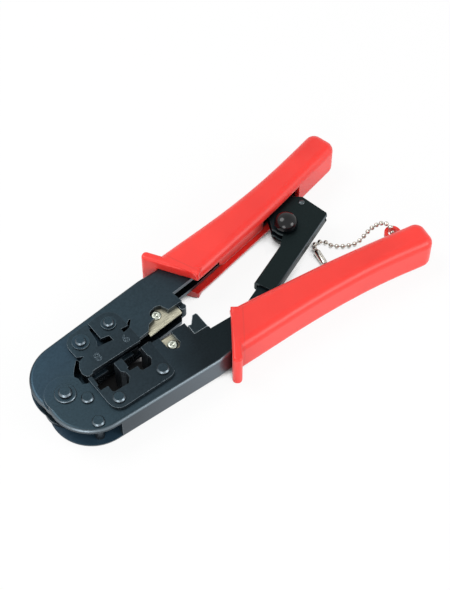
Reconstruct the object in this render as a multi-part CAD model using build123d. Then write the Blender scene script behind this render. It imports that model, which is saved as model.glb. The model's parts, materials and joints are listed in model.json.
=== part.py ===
from build123d import *

import os
from math import asin, atan2, cos, degrees, hypot, radians, sin, tan

# A ratchet crimping tool for modular plugs. It lies on its side: +X runs from the nose to the handle ends
# along the lower jaw, +Y points towards the upper jaw, +Z is up. Everything is drawn about the pivot
# rivet, at the middle of the tool's thickness, and is moved to the box's bottom centre at the end.
# The lower jaw is the fixed one. The upper jaw is drawn closed onto +X and swung open by OPEN_ANGLE.

os.makedirs("parts", exist_ok=True)

# ---- driving dimensions, millimetres and degrees ----
GRIP_THICK = 20.0  # both grips, along Z
FRAME_THICK = 14.0  # the lower frame over its two plates
SHEET = 2.0  # frame sheet
DIE_SHEET = 1.6  # raised die plates
PUNCH_SHEET = 1.9
OPEN_ANGLE = 7.2  # between the two jaws, tool open
CLOSE_ANGLE = 7.8  # how far the upper handle closes

NOSE_R = 20.4
NOSE_X = 10.0  # where the nose's arc meets the fold
FOLD_Y = 26.4  # outer face of the fold wall, from the pivot line
FOLD_START = 12.5
FOLD_END = 66.0
BEND_R = 1.7
JAW_END = 73.0
THROAT_Y = 9.4  # where the frame narrows behind the jaws
KNUCKLE_R = 9.6  # lower frame's eye round the pivot
NEST_KNUCKLE_R = 10.4  # upper frame's eye
NEST_RELIEF_R = 6.4  # the same where the nose rivet passes
JAW_EDGE = 0.9  # upper frame's edge above the pivot line
BACK_EDGE = -1.4  # the same on the far plate, behind the blade

TANG_STATIONS = ((88.0, 9.6, 24.2), (138.0, 13.9, 24.9), (174.0, 18.7, 28.0))  # x, inner, outer
GRIP_STATIONS = ((86.0, 6.4, 28.0), (112.0, 8.6, 27.4), (140.0, 11.3, 28.0), (172.0, 15.6, 31.2))
LOWER_GRIP_END = 191.0
UPPER_GRIP_END = 192.7
GRIP_END_INNER = 17.6
GRIP_END_WIDE = 15.6
GRIP_END_TILT = 8.0
GRIP_END_R = 5.2
GRIP_EDGE_R = 4.6
GUARD_INNER = (86.6, 6.2)
LOWER_GUARD_TIP = (69.4, 31.4)
UPPER_GUARD_TIP = (73.4, 32.7)
GUARD_THICK = 4.6
GUARD_EDGE_R = 1.4
SLOT_HALF = 5.2  # half height of the slots on the grips' inner sides
SLOT_END = 162.0
POCKET_GAP = 0.1

PIVOT_R = 2.5
PIVOT_HEAD_R = 3.1
PIVOT_HEAD = 1.9
WASHER_R = 5.0
WASHER = 0.9
RIVET_R = 1.6
RIVET_HEAD_R = 2.9
RIVET_HEAD = 1.4
HEAD_FOOT = 0.55  # straight share of a rivet head
HEAD_TAPER = 0.8
SHAFT_GAP = 0.06
RUN_GAP = 0.3
NEST_GAP = 0.1

STOP_RIVET = (6.8, -7.6)
POST_RIVET = (4.0, -20.6)
DIE_RIVETS = ((17.8, -16.6), (42.0, -15.8))
POST_R = 2.2

DIE_LEFT = 12.0
DIE_RIGHT = 46.0
DIE_END_R = 5.2
# left, width, depth, latch left, latch width, latch depth, right shoulder
CAVITY_8 = (14.0, 12.0, 8.6, 17.2, 9.2, 12.8, 1.7)
CAVITY_6 = (30.2, 10.4, 7.6, 33.8, 6.2, 10.8, 0.5)
SHOULDER = 0.8
SHOULDER_TOP = 5.6

PUNCH_RIVET_B = (22.8, 16.5)
PUNCH_RIVET_A = (38.9, 15.7)
PUNCH_REST = 2.3  # punch plates against the die plates, tool open
PUNCH_EDGE = 3.3  # their lower edge above the pivot line
HEEL = 1.3  # how far the plates' heel hangs below that edge
HEEL_R = 3.6
PUNCH_RIVET_R = 1.4
LUG_B_R = 6.3
LUG_A_R = 6.6
PUNCH_HEAD_R = 2.5
PUNCH_HEAD = 1.5
PUNCH_WASHER = 0.7
PUNCH_WASHER_A_R = 3.6
PUNCH_WASHER_B_R = 4.1
TOOTH_PITCH = 1.02
TOOTH_WIDE = 0.6
TOOTH_TIP = 1.5
TOOTH_HIGH = 1.4
PUNCH_DEEP = 5.0
TOOTH_LONG = 3.0
CLAMP_BAR = 1.4
PUNCH_SHIFT = 1.3  # punches past the middle of their cavities

BLADE_LOW = (47.0, 61.0, 10.4)  # left, right, depth
BLADE_LOW_SCREW = (54.3, -5.6)
BLADE_UP = (50.3, 69.9, 9.6)
BLADE_UP_EDGE = -0.3
BLADE_UP_SCREW = (59.4, 6.1)
BLADE_UP_THICK = 1.5
BLADE_BEVEL = 1.4
SEAT_UP = (12.0, 3.6)  # the upper blade's seat: length, and how far its edge stays back from the cut
SPRING_TAB = (-1.0, 11.0, 1.6, 2.4)  # middle, length and width of the tab for the spring's free leg
SCREW_R = 1.2
SCREW_HEAD_R = 2.4
SCREW_HEAD = 1.1
END_STOP = (72.0, 1.6, 1.7)  # round block past the upper blade: x, y, radius
STOP_LEFT = 65.2
STOP_DEEP = 7.6
STOP_TOP = 1.5

RACK_PIVOT = (92.0, -13.5)
HOUSING_PIVOT = (146.0, 18.5)  # in the upper jaw's own frame
RACK_OFFSET = 2.8  # slide line from the rack's pivot
HOUSING_OFFSET = 22.5  # slide line from the housing's pivot
RACK_WIDE = 6.4
RACK_THICK = 2.4
RACK_END = 63.0
RACK_PIN_R = 1.8
RACK_EYE_R = 3.6
RATCHET_PITCH = 1.6
RATCHET_DEEP = 1.1
RATCHET_START = 44.0
RATCHET_TEETH = 9
HOUSING_SHEET = 1.2
HOUSING_HALF = 2.7
SLEEVE_WIDE = 11.0
SLEEVE_START = 19.9
SLEEVE_NECK = 46.0
HOUSING_END = 74.4
HOUSING_NECK = 14.4
HOUSING_LOBE_R = 4.6
HOUSING_PIN_R = 1.6
HOUSING_RIVET = (74.0, 9.0)
KNOB = (58.0, 9.1)
KNOB_R = 5.8
KNOB_HIGH = 5.6
KNOB_FOOT = 1.4
WHEEL_R = 7.2
WHEEL_THICK = 2.1
PAWL_SHAFT_R = 1.7
PAWL_HUB_R = 3.2
PAWL_SWING = 12.0

SPRING_WIRE = 1.1
SPRING_TURNS = 3.049
SPRING_FIXED_LEG = 5.6
SPRING_FREE_LEG = 10.1
SLEEVE_R = 3.6

EYELET = (179.8, -12.6)
EYELET_HOLE_R = 2.3
EYELET_R = 4.0
EYELET_THICK = 2.6

CHAIN_BEAD = 2.4
CONNECTOR_R = 1.7
CONNECTOR_LONG = 9.5
CONNECTOR_PLACE = (146.83, 1.1)
CONNECTOR_TURN = 79.6
# the chain's route from one side of the connector, through the eyelet and back, from the ground up
CHAIN_ROUTE = (
    (147.69, 5.77, 1.7),
    (148.3, 9.3, 1.4),
    (151.8, 9.9, 1.3),
    (154.9, 8.2, 1.3),
    (155.4, 4.6, 1.3),
    (158.4, 1.6, 1.3),
    (162.4, -0.8, 1.3),
    (167.0, -2.2, 1.3),
    (171.0, -1.9, 3.0),
    (174.4, -2.2, 6.6),
    (177.4, -3.9, 10.4),
    (179.4, -7.4, 13.9),
    (180.0, -11.9, 13.2),
    (179.7, -12.8, 8.0),
    (178.2, -12.6, 3.6),
    (173.6, -11.2, 1.4),
    (168.0, -9.2, 1.3),
    (162.0, -8.0, 1.3),
    (156.2, -8.3, 1.3),
    (150.4, -9.0, 1.3),
    (146.0, -7.6, 1.4),
    (145.97, -3.57, 1.7),
)

# ---- worked out from them ----
MID_Z = GRIP_THICK / 2
OUTER = FRAME_THICK / 2
INNER = OUTER - SHEET
NEST_OUTER = INNER - NEST_GAP
NEST_INNER = NEST_OUTER - SHEET
DIE_TOP = OUTER + DIE_SHEET


def turned(point, angle):
    """A plan point turned about the pivot."""
    c, s = cos(radians(angle)), sin(radians(angle))
    return (point[0] * c - point[1] * s, point[0] * s + point[1] * c)


def slide_angle(closing):
    """Direction of the ratchet's slide line, for a handle closed by that angle."""
    far = turned(HOUSING_PIVOT, OPEN_ANGLE - closing)
    dx, dy = far[0] - RACK_PIVOT[0], far[1] - RACK_PIVOT[1]
    return degrees(atan2(dy, dx) - asin((RACK_OFFSET + HOUSING_OFFSET) / hypot(dx, dy)))


SLIDE = slide_angle(0)
RACK_SWING = slide_angle(CLOSE_ANGLE) - SLIDE
OPEN = Rot(0, 0, OPEN_ANGLE)
ON_SLIDE = Pos(*RACK_PIVOT, 0) * Rot(0, 0, SLIDE) * Pos(0, RACK_OFFSET, 0)
PUNCH_TURN = Pos(*turned(PUNCH_RIVET_B, OPEN_ANGLE), 0) * Rot(0, 0, PUNCH_REST)


# ---- helpers ----
def slab(face, low, high):
    """The face as a plate between two heights."""
    return Pos(0, 0, low) * extrude(face, high - low)


def pair(face, low, high):
    """The same plate above and below the middle."""
    return slab(face, low, high) + slab(face, -high, -low)


def disc(x, y, radius, low, high):
    return Pos(x, y, low) * Cylinder(radius, high - low, align=(Align.CENTER, Align.CENTER, Align.MIN))


def ring(x, y, radius, hole, low, high):
    return disc(x, y, radius, low, high) - disc(x, y, hole, low, high)


def mirrored(shape):
    return mirror(shape, about=Plane.XZ)


def outline(*points):
    return make_face(Polyline(*points, close=True))


def both_sides(shape):
    """The shape and its mirror image below the middle."""
    return [shape, mirror(shape, about=Plane.XY)]


def rivets(spots, shank_r, head_r, head, half):
    return [rivet(*spot, shank_r, head_r, head, half) for spot in spots]


def dome(x, y, radius, low, foot, high):
    """A round head with a short straight foot and a spherical crown."""
    rise = high - foot
    ball_r = (radius**2 + rise**2) / (2 * rise)
    ball = Pos(x, y, low + high - ball_r) * Sphere(ball_r)
    return ball & disc(x, y, radius, low, low + high + 1)


def rivet(x, y, shank_r, head_r, head, half):
    """A shank through to half on each side, with a pressed head on both ends."""
    low = disc(x, y, head_r, half, half + HEAD_FOOT * head)
    crown = Pos(x, y, half + (1 + HEAD_FOOT) * head / 2) * Cone(
        head_r, HEAD_TAPER * head_r, (1 - HEAD_FOOT) * head
    )
    top = low + crown
    return disc(x, y, shank_r, -half, half) + top + mirror(top, about=Plane.XY)


# ---- frames ----
def nose_face(side):
    """The nose's round front on one side of the pivot line, up to NOSE_X."""
    arc = Pos(NOSE_X, side * (FOLD_Y - NOSE_R)) * Circle(NOSE_R)
    window = Pos(NOSE_X - NOSE_R, side * FOLD_Y / 2) * Rectangle(2 * NOSE_R, FOLD_Y)
    return arc & window


def jaw_face(edge, side):
    """The frame behind the nose: the jaw up to its edge, and the tang that runs into the handle."""
    (x0, in0, out0), (x1, in1, out1), (x2, in2, out2) = TANG_STATIONS
    points = [
        (NOSE_X, edge),
        (JAW_END, edge),
        (JAW_END, THROAT_Y),
        (x0, in0),
        (x1, in1),
        (x2, in2),
        (x2, out2),
        (x1, out1),
        (x0, out0),
        (FOLD_END, FOLD_Y),
        (NOSE_X, FOLD_Y),
    ]
    return outline(*[(x, side * y) for x, y in points])


def fold_wall(side, half):
    """The wall that joins the two plates along the outer side, bent over at its edges."""
    (x0, _, out0), (x1, _, out1), (x2, _, out2) = TANG_STATIONS
    line = [(FOLD_START, FOLD_Y), (FOLD_END, FOLD_Y), (x0, out0), (x1, out1), (x2, out2)]
    outer = [(x, side * y) for x, y in line]
    inner = [(x, side * (y - SHEET)) for x, y in reversed(line)]
    return slab(outline(*outer, *inner), -half, half)


def rounded_fold(frame, side, half):
    """Rounds the bend along the straight of the jaw."""
    edges = [
        e
        for e in frame.edges().filter_by(Axis.X)
        if abs(e.center().Y - side * FOLD_Y) < 0.01 and abs(abs(e.center().Z) - half) < 0.01
        and e.length > 0.5 * (FOLD_END - FOLD_START)
    ]
    return fillet(edges, BEND_R)


def cavity_face(size):
    """A plug's cavity open at the die's top edge: body, shoulders and latch recess."""
    left, wide, deep, latch, latch_wide, latch_deep, shoulder = size
    right = left + wide
    lip = 1.0
    return outline(
        (left, lip),
        (left, -SHOULDER_TOP),
        (left - SHOULDER, -SHOULDER_TOP),
        (left - SHOULDER, -deep),
        (latch, -deep),
        (latch, -latch_deep + SHOULDER),
        (latch + SHOULDER, -latch_deep),
        (latch + latch_wide - SHOULDER, -latch_deep),
        (right + shoulder, -deep - shoulder),
        (right + shoulder, -SHOULDER_TOP - shoulder),
        (right, -SHOULDER_TOP),
        (right, lip),
    )


def lower_frame():
    face = nose_face(-1) + jaw_face(0, -1) + Circle(KNUCKLE_R)
    for size in (CAVITY_8, CAVITY_6):
        face -= cavity_face(size)
    face -= Pos(*STOP_RIVET) * Circle(RIVET_R)
    face -= Pos(*POST_RIVET) * Circle(RIVET_R)
    for spot in DIE_RIVETS:
        face -= Pos(*spot) * Circle(RIVET_R)
    face -= Circle(PIVOT_R)
    sx, sy = BLADE_LOW_SCREW
    face -= outline(
        (sx - 3.6, 0.5),
        (sx - 3.4, sy - 1.4),
        (sx - 1.6, sy - 3.4),
        (sx + 1.1, sy - 4.0),
        (sx + 3.0, sy - 2.0),
        (sx + 2.9, 0.5),
    )
    # room for the heel of the punch plates
    left, low = CAVITY_8[0], -HEEL - 0.4
    face -= outline((left - 5, 9), (left - 5, -0.4), (left - 1.4, low), (left + 1, low), (left + 1, 9))
    notch = STOP_DEEP + RUN_GAP
    face -= Pos(STOP_LEFT - RUN_GAP, -notch) * Rectangle(
        JAW_END - STOP_LEFT + 1, notch + 1, align=(Align.MIN, Align.MIN)
    )
    face -= Pos(*RACK_PIVOT) * Circle(RACK_PIN_R)
    frame = pair(face, INNER, OUTER) + fold_wall(-1, OUTER)
    return rounded_fold(frame, -1, OUTER)


def upper_face():
    """The upper jaw's plates, drawn closed along +X, as they are on the blade's far side."""
    relief_side = degrees(atan2(STOP_RIVET[1], STOP_RIVET[0])) - OPEN_ANGLE
    reach = hypot(*STOP_RIVET)
    shoulder = relief_side - degrees(asin((POST_R + RUN_GAP) / reach))
    far = 2 * NEST_KNUCKLE_R
    wedge = outline((0, 0), turned((far, 0), shoulder), (far, -far), (far, 0))
    eye = Circle(NEST_KNUCKLE_R) - wedge + Circle(NEST_RELIEF_R)
    left, right, _ = BLADE_UP
    face = nose_face(1) + jaw_face(JAW_EDGE, 1) + eye
    face += outline(
        (left - 0.3, JAW_EDGE + 1),
        (left - 0.3, BACK_EDGE),
        (right - 1.2, BACK_EDGE),
        (right + 0.4, BACK_EDGE + 1.6),
        (right + 0.4, JAW_EDGE + 1),
    )
    face -= Circle(PIVOT_R + SHAFT_GAP)
    face -= Pos(*PUNCH_RIVET_A) * Circle(PUNCH_RIVET_R)
    face -= Pos(*PUNCH_RIVET_B) * Circle(PUNCH_RIVET_R)
    face -= Pos(*HOUSING_PIVOT) * Circle(HOUSING_PIN_R)
    return face


def upper_cuts():
    """What is cut from the near plate alone: windows at the punch, and the blade's recess."""
    left, _, _ = BLADE_UP
    (bx, by), (ax, ay), (sx, sy) = PUNCH_RIVET_B, PUNCH_RIVET_A, BLADE_UP_SCREW
    end, low = JAW_END + 0.1, -2.0
    heel = outline(
        (KNUCKLE_R - 0.4, low),
        (KNUCKLE_R - 0.9, 3.7),
        (KNUCKLE_R + 0.4, 6.4),
        (bx - 10.4, by - 7.6),
        (bx - 7.0, by - 4.8),
        (bx - 5.4, by - 8.5),
        (bx - 5.8, low),
    )
    window = outline(
        (ax - 7.8, ay + 4.8),
        (ax - 6.2, ay + 4.8),
        (ax - 6.9, ay - 2.1),
        (ax - 2.9, ay - 3.5),
        (ax - 3.5, ay - 8.1),
        (ax - 12.8, ay - 5.7),
        (ax - 10.4, ay - 2.3),
    )
    hook = outline(
        (ax + 2.6, ay - 4.9),
        (ax + 2.4, ay - 7.4),
        (ax + 6.4, ay - 7.0),
        (ax + 9.9, ay - 4.1),
        (ax + 9.1, ay - 3.6),
        (ax + 5.6, ay - 5.4),
    )
    recess = outline(
        (left - 0.4, low),
        (left - 0.3, 0.8),
        (left + 2.8, 3.8),
        (sx - 2.2, 4.6),
        (sx + 2.4, 4.4),
        (sx + 5.7, 3.8),
        (end, 3.2),
        (end, low),
    )
    recess += Pos(sx, sy) * Circle(SCREW_HEAD_R + 0.5)
    recess += outline(
        (sx + 1, 4),
        (sx + 1, sy + 3.2),
        (sx + 3.2, sy + 2.8),
        (sx + 4.4, sy + 2.1),
        (sx + 5.7, 3.9),
    )
    return [heel, window, hook, recess]


def upper_frame():
    face = upper_face()
    frame = slab(face, -NEST_OUTER, -NEST_INNER) + fold_wall(1, NEST_OUTER)
    frame += slab(face - upper_cuts(), NEST_INNER, NEST_OUTER)
    # a tab for the spring's free leg, bent in from the plate
    x, y, long, wide = SPRING_TAB
    frame += Pos(x, y, 0) * Box(long, wide, 2 * NEST_INNER + 2 * NEST_GAP)
    return OPEN * rounded_fold(frame, 1, NEST_OUTER)


# ---- grips ----
def grip_blank(end, tip):
    """The grip's body in plan, on the +Y side, with its end square to the way it points there."""
    r = GRIP_END_R
    corner = (end - r, GRIP_END_INNER)

    def at(x, y):
        dx, dy = turned((x, y), GRIP_END_TILT)
        return (corner[0] + dx, corner[1] + dy)

    inner = [(x, low) for x, low, _ in GRIP_STATIONS] + [corner]
    outer = [(x, high) for x, _, high in GRIP_STATIONS] + [at(0, GRIP_END_WIDE)]
    outer[0] = (tip[0] + GUARD_THICK, outer[0][1])
    way = turned((1, 0), GRIP_END_TILT)
    low = Spline(*inner, tangents=((1, 0.05), way))
    high = Spline(*outer, tangents=((1, 0), way))
    bulge = r * (1 - cos(radians(45)))
    cap = ThreePointArc(at(0, 0), at(r - bulge, bulge), at(r, r))
    cap += Line(at(r, r), at(r, GRIP_END_WIDE - r))
    cap += ThreePointArc(
        at(r, GRIP_END_WIDE - r), at(r - bulge, GRIP_END_WIDE - bulge), at(0, GRIP_END_WIDE)
    )
    return make_face(low + cap + high + Line(outer[0], inner[0]))


def guard_face(tip):
    (x0, y0), (x1, y1) = GUARD_INNER, tip
    span = hypot(x1 - x0, y1 - y0)
    ux, uy = (x1 - x0) / span, (y1 - y0) / span
    back = (uy * GUARD_THICK, -ux * GUARD_THICK)
    face = outline((x0, y0), (x1, y1), (x1 + back[0], y1 + back[1]), (x0 + back[0], y0 + back[1]))
    tips = [v for v in face.vertices() if v.Y > (y0 + y1) / 2]
    return fillet(tips, 0.45 * GUARD_THICK)


def grip_solid(end, tip):
    half = GRIP_THICK / 2
    body = slab(grip_blank(end, tip), -half, half)
    rim = [
        e
        for e in body.edges()
        if abs(abs(e.center().Z) - half) < 0.01 and e.center().X > GUARD_INNER[0] + 4
    ]
    body = fillet(rim, GRIP_EDGE_R)
    guard = slab(guard_face(tip), -half, half)
    guard = fillet(guard.faces().filter_by(Axis.Z).edges(), GUARD_EDGE_R)
    return body + guard


def tang_face(grow):
    (x0, in0, out0), (x1, in1, out1), (x2, in2, out2) = TANG_STATIONS
    return outline(
        (FOLD_END, in0 - grow),
        (x0, in0 - grow),
        (x1, in1 - grow),
        (x2 + grow, in2 - grow),
        (x2 + grow, out2 + grow),
        (x1, out1 + grow),
        (x0, out0 + grow),
        (FOLD_END, FOLD_Y + grow),
    )


def slot_face():
    (_, in0, _), (x1, in1, _), (_, in2, _) = TANG_STATIONS
    return outline(
        (FOLD_END, -5),
        (SLOT_END, -5),
        (SLOT_END, in2),
        (x1, in1 + 3),
        (FOLD_END, in0 + 3),
    )


def grip(half, end, tip):
    """One grip with its pocket for a tang of that half height, and the slot on its inner side."""
    solid = grip_solid(end, tip)
    solid -= slab(tang_face(POCKET_GAP), -half - POCKET_GAP, half + POCKET_GAP)
    solid -= slab(slot_face(), -SLOT_HALF, SLOT_HALF)
    return solid


def eyelet():
    """The moulded ring that the chain passes through."""
    x, y = EYELET
    root = -GRIP_END_INNER - 1.0
    face = Pos(x, y) * Circle(EYELET_R) + Pos(x, (y + root) / 2) * Rectangle(2 * EYELET_R, y - root)
    face -= Pos(x, y) * Circle(EYELET_HOLE_R)
    return slab(face, -EYELET_THICK / 2, EYELET_THICK / 2)


def lower_grip():
    return mirrored(grip(OUTER, LOWER_GRIP_END, LOWER_GUARD_TIP)) + eyelet()


def upper_grip():
    return OPEN * grip(NEST_OUTER, UPPER_GRIP_END, UPPER_GUARD_TIP)


# ---- dies ----
def die_face():
    (ex, ey), (fx, fy) = DIE_RIVETS
    body = outline(
        (DIE_LEFT, 0),
        (DIE_RIGHT, 0),
        (DIE_RIGHT, fy),
        (fx, fy - DIE_END_R),
        (ex, ey - DIE_END_R),
        (DIE_LEFT + 0.4, ey),
    )
    face = body + Pos(ex, ey) * Circle(DIE_END_R) + Pos(fx, fy) * Circle(DIE_END_R)
    face = face & outline((DIE_LEFT, 0), (DIE_RIGHT, 0), (DIE_RIGHT, -FOLD_Y), (DIE_LEFT, -FOLD_Y))
    for size in (CAVITY_8, CAVITY_6):
        face -= cavity_face(size)
    for spot in DIE_RIVETS:
        face -= Pos(*spot) * Circle(RIVET_R)
    return face


def die_plates():
    return pair(die_face(), OUTER, DIE_TOP)


def die_block():
    return slab(die_face(), -INNER, INNER)


# ---- punches ----
def punch_frame_point(point):
    """A point of the closed upper jaw in the punch plates' own frame."""
    (x, y), (bx, by) = turned(point, OPEN_ANGLE), turned(PUNCH_RIVET_B, OPEN_ANGLE)
    return turned((x - bx, y - by), -PUNCH_REST)


def punch_holes():
    """The bore for rivet B and the slot that lets the carrier level itself past rivet A."""
    ax, ay = punch_frame_point(PUNCH_RIVET_A)
    travel = radians(CLOSE_ANGLE - PUNCH_REST) * hypot(ax, ay)
    slot = SlotCenterToCenter(travel + 0.4, 2 * (PUNCH_RIVET_R + RUN_GAP), rotation=90)
    return Circle(PUNCH_RIVET_R + SHAFT_GAP) + Pos(ax, ay - travel / 2) * slot


def punch_face():
    """Bar with a heel on its left and two lugs round the rivets, with rivet B at the origin."""
    ax, ay = punch_frame_point(PUNCH_RIVET_A)
    low = PUNCH_EDGE - turned(PUNCH_RIVET_B, OPEN_ANGLE)[1]
    left, right = -LUG_B_R, ax + LUG_A_R
    face = outline(
        (left, 0),
        (left + 0.1, -5.4),
        (left + 2.9, -7.1),
        (left - 0.3, -8.2),
        (left - 2.2, -11.0),
        (left - 3.0, low + 1.6),
        (left - 2.1, low - 0.6),
        (left - 1.2, low - HEEL),
        (left + 1.1, low - HEEL + 0.3),
        (left + 1.8, low),
        (right - 0.8, low),
        (right, low + 1),
        (right, ay),
        (ax, ay + LUG_A_R),
        (0, LUG_B_R),
    )
    face += Circle(LUG_B_R) + Pos(ax, ay) * Circle(LUG_A_R)
    face -= outline(
        (ax - 8.2, LUG_B_R + 2),
        (ax - 7.4, LUG_B_R + 2),
        (ax - 7.6, ay - 4.5),
        (ax - 3.6, ay - 5.4),
        (ax - 3.6, ay - 8.5),
        (ax - 11.5, ay - 7.3),
        (ax - 9.9, ay - 4.4),
    )
    face -= outline((ax + 2.7, ay - 5.8), (ax + 2.7, ay - 8.2), (right + 1, ay - 7.4), (right + 1, ay - 6.4))
    return face - punch_holes()


def punch_plates():
    return PUNCH_TURN * pair(punch_face(), NEST_OUTER, NEST_OUTER + PUNCH_SHEET)


def holder_face():
    ax, ay = punch_frame_point(PUNCH_RIVET_A)
    low = PUNCH_EDGE - turned(PUNCH_RIVET_B, OPEN_ANGLE)[1]
    face = Pos((ax - 0.4) / 2, (low + 5) / 2) * Rectangle(ax + 9, 5 - low)
    face += Pos(-4.6, low + HEEL_R) * Circle(HEEL_R)
    return face - punch_holes()


def punch(size, ways):
    """A comb of teeth, one for each contact, and beside it the bar that presses the plug's cable clamp."""
    by = turned(PUNCH_RIVET_B, OPEN_ANGLE)[1]
    middle = size[0] + size[1] / 2 + PUNCH_SHIFT - turned(PUNCH_RIVET_B, OPEN_ANGLE - CLOSE_ANGLE)[0]
    wide = ways * TOOTH_PITCH
    low, tip = PUNCH_EDGE - by, TOOTH_TIP - by
    root = tip + TOOTH_HIGH
    solid = Pos(middle, (root + low + 3) / 2, 0) * Box(wide, low + 3 - root, PUNCH_DEEP)
    solid += Pos(middle, (tip + root) / 2 + 0.05, (PUNCH_DEEP - CLAMP_BAR) / 2) * Box(
        wide, TOOTH_HIGH + 0.1, CLAMP_BAR
    )
    for n in range(ways):
        x = middle + (n - (ways - 1) / 2) * TOOTH_PITCH
        solid += Pos(x, (tip + root) / 2 + 0.05, (TOOTH_LONG - PUNCH_DEEP) / 2) * Box(
            TOOTH_WIDE, TOOTH_HIGH + 0.1, TOOTH_LONG
        )
    return solid


def punch_holder():
    block = slab(holder_face(), -NEST_INNER, NEST_INNER)
    for size, ways in ((CAVITY_8, 8), (CAVITY_6, 6)):
        block -= punch(size, ways)
    return PUNCH_TURN * block


# ---- blades, screws and stops ----
def lower_blade():
    left, right, deep = BLADE_LOW
    low, high = INNER - 2.0 + NEST_GAP, INNER
    blade = Pos((left + right) / 2, -deep / 2, (low + high) / 2) * Box(right - left, deep, high - low)
    blade -= disc(*BLADE_LOW_SCREW, SCREW_R, -OUTER, OUTER)
    edge = [e for e in blade.edges().filter_by(Axis.X) if e.center().Y > -0.01 and e.center().Z > low + 0.1]
    return chamfer(edge, BLADE_BEVEL / 2)


def screw(x, y, seat, deep):
    head = disc(x, y, SCREW_HEAD_R, seat, seat + SCREW_HEAD)
    head = fillet(head.edges().group_by(Axis.Z)[-1], 0.5)
    return head + disc(x, y, SCREW_R, seat - deep, seat)


def lower_blade_seat():
    """A spacer between the lower plates that the blade is screwed to."""
    left, right, deep = BLADE_LOW
    top = INNER - 2.0 + NEST_GAP
    block = Pos((left + right) / 2, -(deep + 2.6) / 2, (top - INNER) / 2) * Box(
        right - left - 2, deep - 2.6, top + INNER
    )
    return block - disc(*BLADE_LOW_SCREW, SCREW_R, -OUTER, OUTER)


def upper_blade_face():
    left, right, deep = BLADE_UP
    low = BLADE_UP_EDGE
    return outline((left, low), (right, low), (right, 5), (right - 5, deep), (left + 3, deep), (left, 4))


def upper_blade():
    high = NEST_INNER
    blade = slab(upper_blade_face(), high - BLADE_UP_THICK, high)
    blade -= disc(*BLADE_UP_SCREW, SCREW_R, -OUTER, OUTER)
    low = [e for e in blade.edges().filter_by(Axis.X) if e.center().Y < BLADE_UP_EDGE + 0.01]
    edge = [e for e in low if e.center().Z > high - 0.1]
    return OPEN * chamfer(edge, 0.9, BLADE_BEVEL)


def upper_blade_seat():
    left, right, deep = BLADE_UP
    top = NEST_INNER - BLADE_UP_THICK
    long, back = SEAT_UP
    middle = Pos((left + right) / 2 + 1, (deep + back + 1) / 2, (top - NEST_INNER) / 2)
    block = middle * Box(long, deep - back, top + NEST_INNER)
    return OPEN * (block - disc(*BLADE_UP_SCREW, SCREW_R, -OUTER, OUTER))


def blade_end_stop():
    x, y, radius = END_STOP
    face = Pos(x, y) * Circle(radius) + Pos(x, y + 2.5) * Rectangle(1.7 * radius, 5)
    return OPEN * slab(face, -NEST_INNER, NEST_INNER)


def cable_stop():
    right = JAW_END - RUN_GAP
    face = outline(
        (STOP_LEFT, -STOP_DEEP),
        (right, -STOP_DEEP),
        (right, STOP_TOP - 0.6),
        (right - 0.5, STOP_TOP),
        (right - 2.3, STOP_TOP),
        (STOP_LEFT + 1.8, -2.4),
        (STOP_LEFT + 0.2, -2.0),
    )
    web = face & outline((STOP_LEFT, -STOP_DEEP), (right, -STOP_DEEP), (right, -3.4), (STOP_LEFT, -3.4))
    return pair(face, INNER, OUTER) + slab(web, -INNER, INNER)


# ---- pivot, rivets, spring ----
def pivot_rivet():
    return rivet(0, 0, PIVOT_R, PIVOT_HEAD_R, PIVOT_HEAD, OUTER + WASHER)


def pivot_washers():
    washer = ring(0, 0, WASHER_R, PIVOT_R, OUTER, OUTER + WASHER)
    washer = chamfer(washer.edges().group_by(Axis.Z)[-1].sort_by(SortBy.RADIUS)[-1], 0.3)
    return Compound(both_sides(washer))


def frame_rivets():
    nose = rivets((STOP_RIVET, POST_RIVET), RIVET_R, RIVET_HEAD_R, RIVET_HEAD, OUTER)
    dies = rivets(DIE_RIVETS, RIVET_R, RIVET_HEAD_R, RIVET_HEAD, DIE_TOP)
    return Compound(nose + dies)


def spacer_posts():
    return Compound([ring(*spot, POST_R, RIVET_R, -INNER, INNER) for spot in (STOP_RIVET, POST_RIVET)])


def pivot_sleeve():
    return ring(0, 0, SLEEVE_R, PIVOT_R, -NEST_INNER + 0.1, NEST_INNER - 0.1)


def return_spring():
    """Coil round the pivot sleeve, one leg behind the nose rivet, one towards the upper frame's tab."""
    wire = SPRING_WIRE / 2
    radius = SLEEVE_R + RUN_GAP + wire
    pitch = SPRING_WIRE + 0.15
    coil = Helix(pitch, pitch * SPRING_TURNS, radius, center=(0, 0, -pitch * SPRING_TURNS / 2))
    fixed_leg = Line(coil @ 0 - (coil % 0) * SPRING_FIXED_LEG, coil @ 0)
    free_leg = Line(coil @ 1, coil @ 1 + (coil % 1) * SPRING_FREE_LEG)
    path = Wire([fixed_leg, coil, free_leg])
    section = Plane(origin=path @ 0, z_dir=path % 0) * Circle(wire)
    return sweep(section, path=path)


def punch_rivets():
    half = NEST_OUTER + PUNCH_SHEET + PUNCH_WASHER
    spots = (PUNCH_RIVET_A, PUNCH_RIVET_B)
    return OPEN * Compound(rivets(spots, PUNCH_RIVET_R, PUNCH_HEAD_R, PUNCH_HEAD, half))


def punch_washers():
    low = NEST_OUTER + PUNCH_SHEET
    rings = []
    for spot, radius in ((PUNCH_RIVET_A, PUNCH_WASHER_A_R), (PUNCH_RIVET_B, PUNCH_WASHER_B_R)):
        rings += both_sides(ring(*spot, radius, PUNCH_RIVET_R, low, low + PUNCH_WASHER))
    return OPEN * Compound(rings)


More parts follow.
